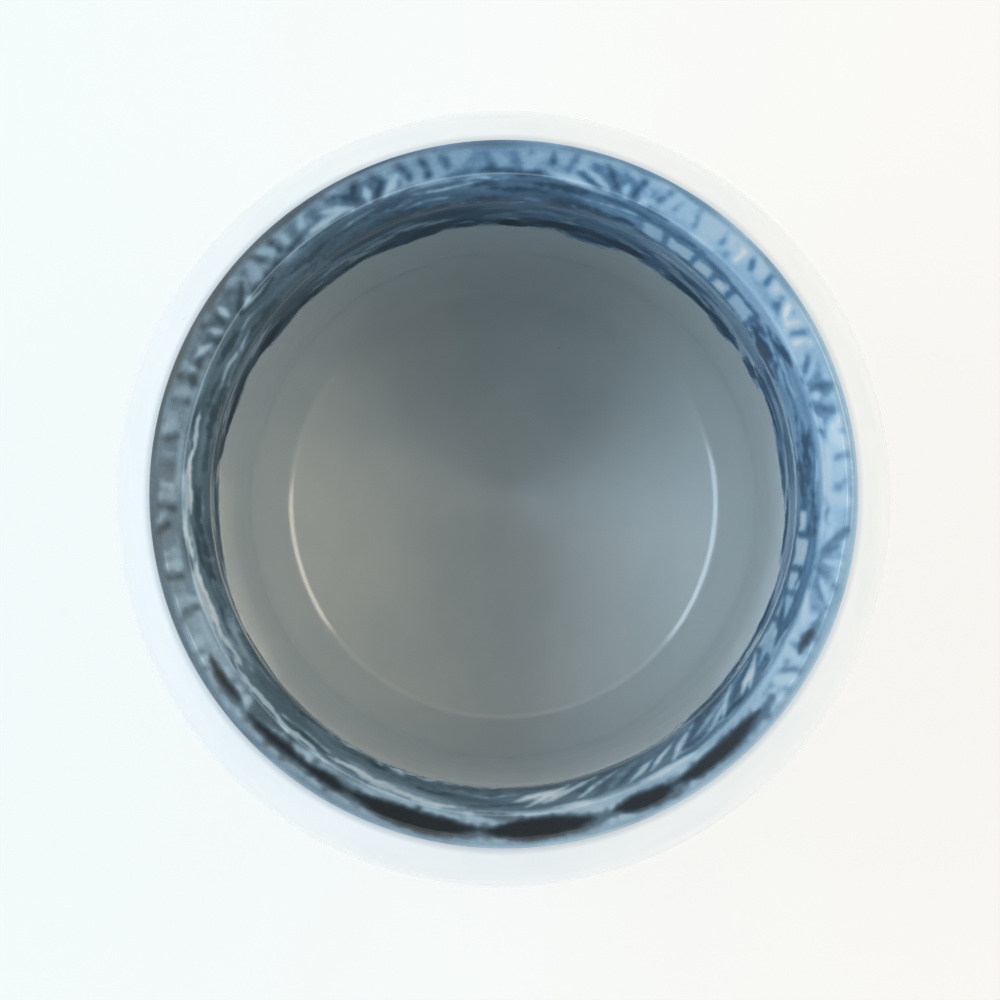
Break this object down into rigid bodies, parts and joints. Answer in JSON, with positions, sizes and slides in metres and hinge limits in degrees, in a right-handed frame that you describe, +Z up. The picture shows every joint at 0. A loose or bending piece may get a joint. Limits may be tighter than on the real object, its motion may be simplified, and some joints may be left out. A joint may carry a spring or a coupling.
{
  "type": "yunomi teacup",
  "caption": "Double-walled porcelain yunomi teacup, plain white and barrel-shaped outside, straight inside under a flared mouth, with a blue landscape round the mouth below a blue lip line, on a bare foot ring.",
  "frame": {"origin": "on the table plane, at the centre of the foot ring", "axes": "+Z up along the cup's axis; +X and +Y level, with -Y towards the bottom edge of the picture"},
  "size_m": [0.0904, 0.0904, 0.084],
  "materials": {
    "porcelain": "fired white porcelain under glaze",
    "biscuit": "bare fired porcelain, dry and slightly warm",
    "slip": "fired joining slip",
    "plug": "matt silicone",
    "clear_glaze": "clear gloss glaze over white porcelain",
    "rim_cobalt": "gloss, cobalt blue, thin in places",
    "band_painting": "gloss, cobalt blue painting on white"
  },
  "bodies": {
    "root": {"inner_cup": "porcelain", "outer_shell": "porcelain", "foot_ring": "biscuit", "lip_slip_joint": "slip", "foot_slip_joint": "slip", "vent_plug": "plug", "inner_glaze": "clear_glaze", "outer_glaze": "clear_glaze", "foot_well_glaze": "clear_glaze", "rim_line": "rim_cobalt", "mouth_band": "band_painting"}
  },
  "joints": []
}
